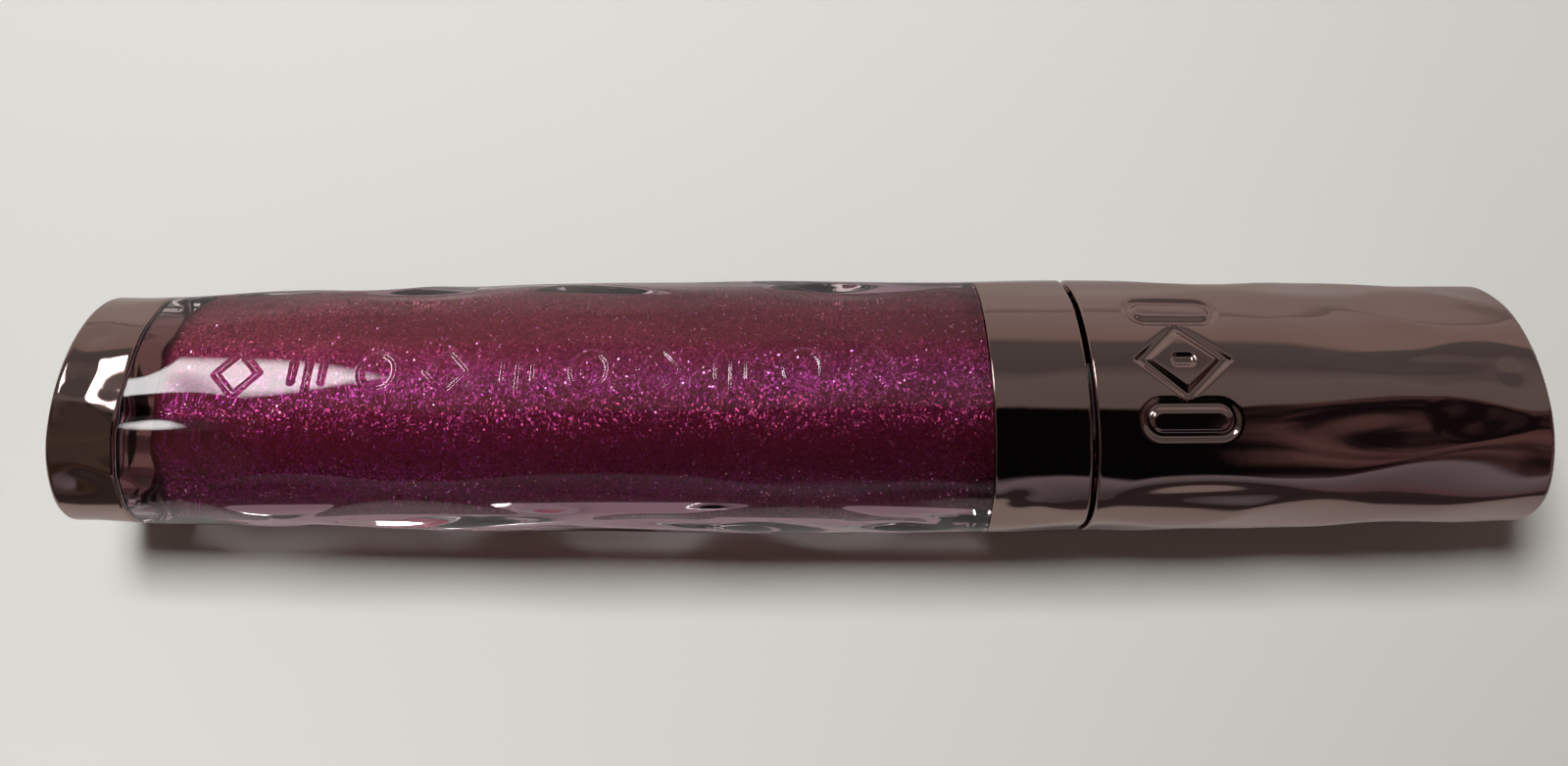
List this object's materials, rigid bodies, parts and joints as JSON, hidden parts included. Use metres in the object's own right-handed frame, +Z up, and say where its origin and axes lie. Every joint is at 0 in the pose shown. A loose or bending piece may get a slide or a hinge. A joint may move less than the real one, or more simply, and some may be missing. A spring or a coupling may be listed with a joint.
{
  "type": "lip gloss tube",
  "caption": "Barrel-shaped clear lip gloss tube with a metallised base cap, collar and screw cap that carries a flocked doe-foot wand through a wiper.",
  "frame": {"origin": "centre of the flat end face of the base cap, on the tube's axis", "axes": "+X along the tube's axis from the base towards the cap, +Z up while the tube lies on its side"},
  "size_m": [0.1108, 0.0186, 0.0186],
  "materials": {
    "clear_wall": "clear thick moulded copolyester, polished",
    "gloss_liquid": "wet magenta liquid with fine glitter",
    "metallised": "vacuum metallised plastic, polished warm gunmetal",
    "wiper_plastic": "soft natural polyethylene",
    "inner_plastic": "black moulded polypropylene",
    "gasket_foam": "soft elastomer",
    "stem_plastic": "black smooth rod",
    "flock": "short nylon flock, stained by the gloss",
    "label_paper": "blank coated paper label"
  },
  "bodies": {
    "bottle": {"bottle": "clear_wall", "gloss_fill": "gloss_liquid", "base_cap": "metallised", "base_label": "label_paper", "collar": "metallised", "wiper": "wiper_plastic"},
    "cap_carrier": {"neck_gasket": "gasket_foam"},
    "cap": {"cap_shell": "metallised", "cap_liner": "inner_plastic", "wand_stem": "stem_plastic", "applicator_core": "inner_plastic", "applicator_flock": "flock"}
  },
  "joints": [
    {"name": "cap_lift", "type": "slide", "parent": "bottle", "child": "cap_carrier", "axis": [1, 0, 0], "range_m": [0, 0.08]},
    {"name": "cap_turn", "type": "hinge", "parent": "cap_carrier", "child": "cap", "pos_m": [0.0902, 0, 0], "axis": [1, 0, 0], "range_deg": [0, 3600]}
  ],
  "couplings": [
    {"joint": "cap_lift", "follows": "cap_turn", "m_per_rad": 0.0012732}
  ]
}
